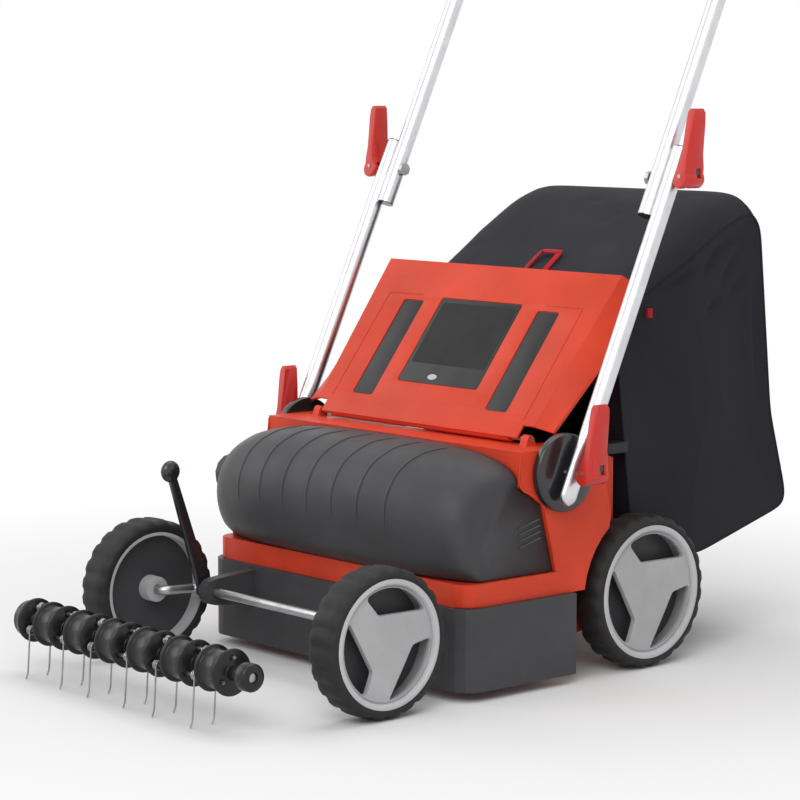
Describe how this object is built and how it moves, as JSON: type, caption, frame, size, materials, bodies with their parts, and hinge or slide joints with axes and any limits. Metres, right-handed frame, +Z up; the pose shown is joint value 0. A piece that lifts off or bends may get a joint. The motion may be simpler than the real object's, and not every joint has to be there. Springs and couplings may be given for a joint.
{
  "type": "lawn scarifier",
  "caption": "Walk-behind electric lawn scarifier with a knife roller, hinged rear flap, rear grass bag and folding handle, with a separate spring-tine reel lying in front of it.",
  "frame": {"origin": "on the ground under the middle of the bounding box of the machine and the reel in front of it", "axes": "+Z up, -Y towards the front, where the reel lies, and +X towards the side with the switch box"},
  "size_m": [0.607, 0.9251, 1.0806],
  "materials": {
    "red_plastic": "satin orange-red",
    "dark_plastic": "fine-grained anthracite",
    "gloss_dark": "smooth glossy black",
    "rim_grey": "mid grey",
    "tyre_black": "matt black",
    "tube_silver": "silver-grey",
    "steel": "bright",
    "belt_rubber": "matt black",
    "bag_fabric": "dense black weave",
    "webbing_red": "crimson webbing",
    "reel_plastic": "smooth black",
    "grip_rubber": "soft black sleeve"
  },
  "bodies": {
    "machine": {"main_housing": "red_plastic", "lower_chassis": "dark_plastic", "rear_axle": "steel", "roller_bearing_left": "steel", "roller_bearing_right": "steel", "motor": "steel", "drive_belt": "belt_rubber", "belt_cover": "dark_plastic", "motor_cover": "dark_plastic", "flap_hinge_rod": "steel", "pivot_disc_left": "gloss_dark", "pivot_disc_right": "gloss_dark"},
    "front_axle": {"front_crank_axle": "steel", "depth_lever": "dark_plastic"},
    "blade_roller": {"blade_shaft": "steel", "scarifier_knives": "steel"},
    "motor_rotor": {"motor_shaft": "steel"},
    "rear_flap": {"rear_flap_shell": "red_plastic", "flap_panel": "gloss_dark", "flap_inlay_left": "gloss_dark", "flap_inlay_right": "gloss_dark"},
    "handle_lower": {"lower_tube_left": "tube_silver", "lower_tube_right": "tube_silver", "lower_bolt_left": "steel", "lower_bolt_right": "steel"},
    "handle_upper": {"upper_handle": "tube_silver", "upper_bolt_left": "steel", "upper_bolt_right": "steel", "handle_grip": "grip_rubber", "switch_box": "dark_plastic", "bail_clip": "dark_plastic"},
    "button": {"safety_button": "red_plastic"},
    "bail": {"switch_bail": "red_plastic"},
    "grass_bag": {"bag_shell": "bag_fabric", "bag_frame": "dark_plastic", "bag_handle": "webbing_red"},
    "reel_block": {"reel_bearing_block": "dark_plastic"},
    "tine_reel": {"reel_shaft": "steel", "reel_spool_0": "reel_plastic", "reel_spool_1": "reel_plastic", "reel_spool_2": "reel_plastic", "reel_spool_3": "reel_plastic", "reel_spool_4": "reel_plastic", "reel_spool_5": "reel_plastic", "reel_spool_6": "reel_plastic", "tine_rod_1": "steel", "tine_rod_2": "steel", "tine_rod_3": "steel"},
    "wheel_rear_left": {"rim_rear_left": "rim_grey", "tyre_rear_left": "tyre_black"},
    "wheel_rear_right": {"rim_rear_right": "rim_grey", "tyre_rear_right": "tyre_black"},
    "wheel_front_left": {"rim_front_left": "rim_grey", "tyre_front_left": "tyre_black"},
    "wheel_front_right": {"rim_front_right": "rim_grey", "tyre_front_right": "tyre_black"},
    "clamp_lower_left": {"clamp_lever_lower_left": "red_plastic"},
    "clamp_lower_right": {"clamp_lever_lower_right": "red_plastic"},
    "clamp_upper_left": {"clamp_lever_upper_left": "red_plastic"},
    "clamp_upper_right": {"clamp_lever_upper_right": "red_plastic"}
  },
  "joints": [
    {"name": "depth_adjust", "type": "hinge", "parent": "machine", "child": "front_axle", "pos_m": [0, -0.21236, 0.086], "axis": [1, 0, 0], "range_deg": [-15, 15]},
    {"name": "wheel_rear_left_spin", "type": "hinge", "parent": "machine", "child": "wheel_rear_left", "pos_m": [-0.25, 0.16614, 0.0965], "axis": [1, 0, 0], "continuous": true},
    {"name": "wheel_rear_right_spin", "type": "hinge", "parent": "machine", "child": "wheel_rear_right", "pos_m": [0.25, 0.16614, 0.0965], "axis": [1, 0, 0], "continuous": true},
    {"name": "wheel_front_left_spin", "type": "hinge", "parent": "front_axle", "child": "wheel_front_left", "pos_m": [-0.25, -0.26486, 0.0887], "axis": [1, 0, 0], "continuous": true},
    {"name": "wheel_front_right_spin", "type": "hinge", "parent": "front_axle", "child": "wheel_front_right", "pos_m": [0.25, -0.26486, 0.0887], "axis": [1, 0, 0], "continuous": true},
    {"name": "blade_spin", "type": "hinge", "parent": "machine", "child": "blade_roller", "pos_m": [0, -0.05336, 0.072], "axis": [1, 0, 0], "continuous": true},
    {"name": "motor_spin", "type": "hinge", "parent": "machine", "child": "motor_rotor", "pos_m": [0, -0.12479, 0.22247], "axis": [1, 0, 0], "continuous": true},
    {"name": "flap_hinge", "type": "hinge", "parent": "machine", "child": "rear_flap", "pos_m": [0, -0.00136, 0.2985], "axis": [1, 0, 0], "range_deg": [0, 40]},
    {"name": "handle_fold_lower", "type": "hinge", "parent": "machine", "child": "handle_lower", "pos_m": [0, 0.01264, 0.262], "axis": [1, 0, 0], "range_deg": [-10, 75]},
    {"name": "handle_fold_upper", "type": "hinge", "parent": "handle_lower", "child": "handle_upper", "pos_m": [0, 0.17413, 0.61149], "axis": [1, 0, 0], "range_deg": [-60, 90]},
    {"name": "clamp_lower_left_lever", "type": "hinge", "parent": "handle_lower", "child": "clamp_lower_left", "pos_m": [-0.291, 0.01264, 0.262], "axis": [0, -1, 0], "range_deg": [0, 100]},
    {"name": "clamp_lower_right_lever", "type": "hinge", "parent": "handle_lower", "child": "clamp_lower_right", "pos_m": [0.291, 0.01264, 0.262], "axis": [0, 1, 0], "range_deg": [0, 100]},
    {"name": "clamp_upper_left_lever", "type": "hinge", "parent": "handle_upper", "child": "clamp_upper_left", "pos_m": [-0.291, 0.17413, 0.61149], "axis": [0, -1, 0], "range_deg": [0, 100]},
    {"name": "clamp_upper_right_lever", "type": "hinge", "parent": "handle_upper", "child": "clamp_upper_right", "pos_m": [0.291, 0.17413, 0.61149], "axis": [0, 1, 0], "range_deg": [0, 100]},
    {"name": "button_press", "type": "slide", "parent": "handle_upper", "child": "button", "axis": [0, 0, -1], "range_m": [0, 0.004], "stiffness_N_per_m": 300, "springref_m": -0.002},
    {"name": "bail_squeeze", "type": "hinge", "parent": "handle_upper", "child": "bail", "pos_m": [0, 0.36372, 1.02181], "axis": [1, 0, 0], "range_deg": [-42, 0], "stiffness_Nm_per_rad": 0.3, "springref_deg": 17.19},
    {"name": "bag_lift_off", "type": "slide", "parent": "machine", "child": "grass_bag", "axis": [0, 0.9397, 0.342], "range_m": [0, 0.35]},
    {"name": "reel_lift", "type": "slide", "parent": "machine", "child": "reel_block", "axis": [0, 0, 1], "range_m": [0, 0.15]},
    {"name": "reel_spin", "type": "hinge", "parent": "reel_block", "child": "tine_reel", "pos_m": [0, -0.43436, 0.0684], "axis": [1, 0, 0], "continuous": true}
  ],
  "couplings": [
    {"joint": "motor_spin", "follows": "blade_spin", "ratio": 2}
  ]
}
